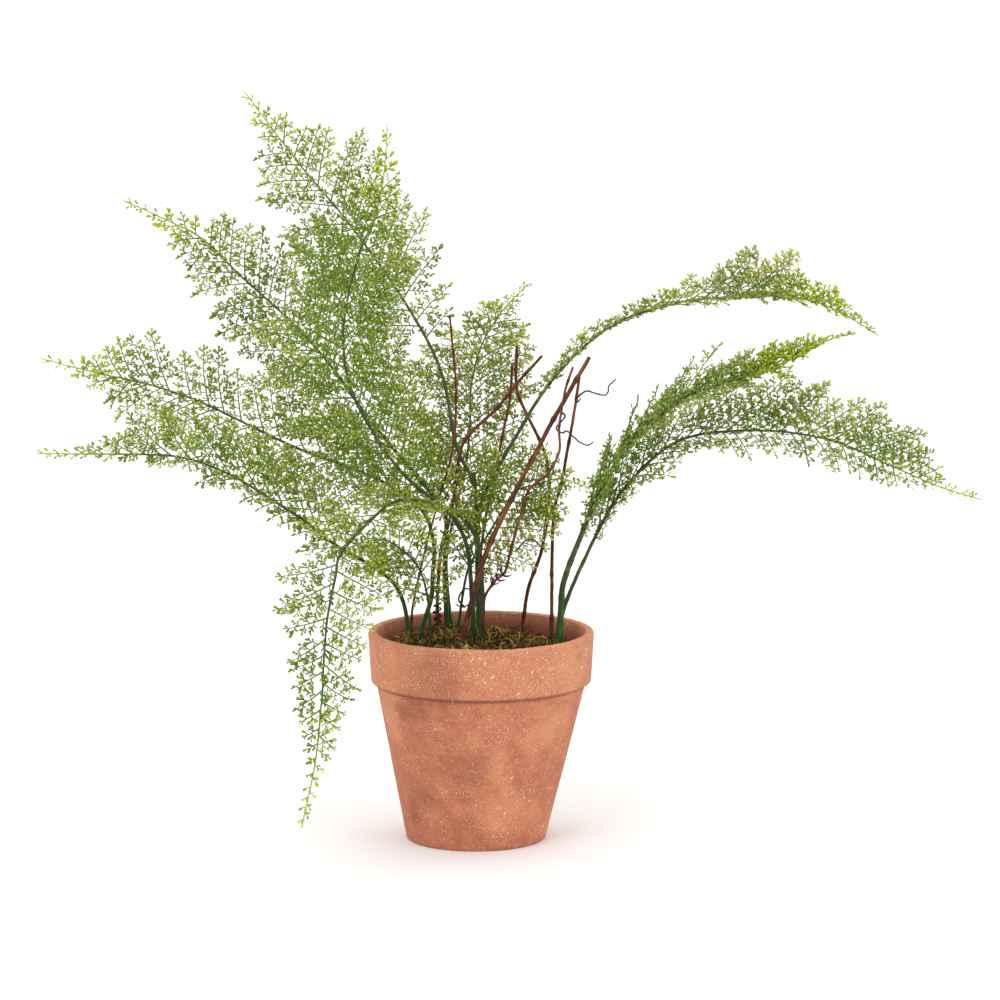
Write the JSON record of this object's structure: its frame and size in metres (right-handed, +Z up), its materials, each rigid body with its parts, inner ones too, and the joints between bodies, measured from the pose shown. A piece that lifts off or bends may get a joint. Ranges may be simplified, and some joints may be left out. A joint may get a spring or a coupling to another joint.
{
  "type": "potted fern",
  "caption": "Airy maidenhair-type fern with long arching feathery fronds, bare brown twigs and curling tendrils, in a moss-topped terracotta pot.",
  "frame": {"origin": "the middle of the whole plant's footprint, on the surface that the pot stands on", "axes": "+Z up along the pot's axis; +X to the right of the pot's front, along the longest fronds; +Y to the back, away from the drooping frond"},
  "size_m": [0.6282, 0.3046, 0.4943],
  "materials": {
    "terracotta": "unglazed fired clay, matte, weathered with pale lime flecks",
    "potting_fill": "dark crumbly potting fill",
    "moss": "dried tangled moss",
    "green_stems": "smooth satin green, darker at the base",
    "leaves": "soft matte, yellow-green at the tips",
    "twigs": "smooth reddish bark with small knots and cut ends",
    "tendrils": "thin dark wire-like tendril"
  },
  "bodies": {
    "root": {"pot": "terracotta", "potting_fill": "potting_fill", "moss_cover": "moss", "central_stem": "green_stems", "right_stem": "green_stems", "back_left_leaves": "leaves", "right_high_leaves": "leaves", "right_middle_leaves": "leaves", "right_low_leaves": "leaves", "left_high_stem": "green_stems", "left_high_leaves": "leaves", "upright_stem": "green_stems", "upright_leaves": "leaves", "left_middle_stem": "green_stems", "left_middle_leaves": "leaves", "left_low_stem": "green_stems", "left_low_leaves": "leaves", "drooping_stem": "green_stems", "drooping_leaves": "leaves", "back_centre_stem": "green_stems", "back_centre_leaves": "leaves", "centre_short_stem": "green_stems", "centre_short_leaves": "leaves", "inner_short_stem": "green_stems", "inner_short_leaves": "leaves", "twig_coiled": "twigs", "twig_thick": "twigs", "twig_hooked": "twigs", "twig_back_right": "twigs", "twig_straight": "twigs", "twig_slender": "twigs", "twig_back": "twigs", "tendril_upper": "tendrils", "tendril_middle": "tendrils", "tendril_loop": "tendrils", "tendril_low": "tendrils", "tendril_coil": "tendrils"}
  },
  "joints": []
}
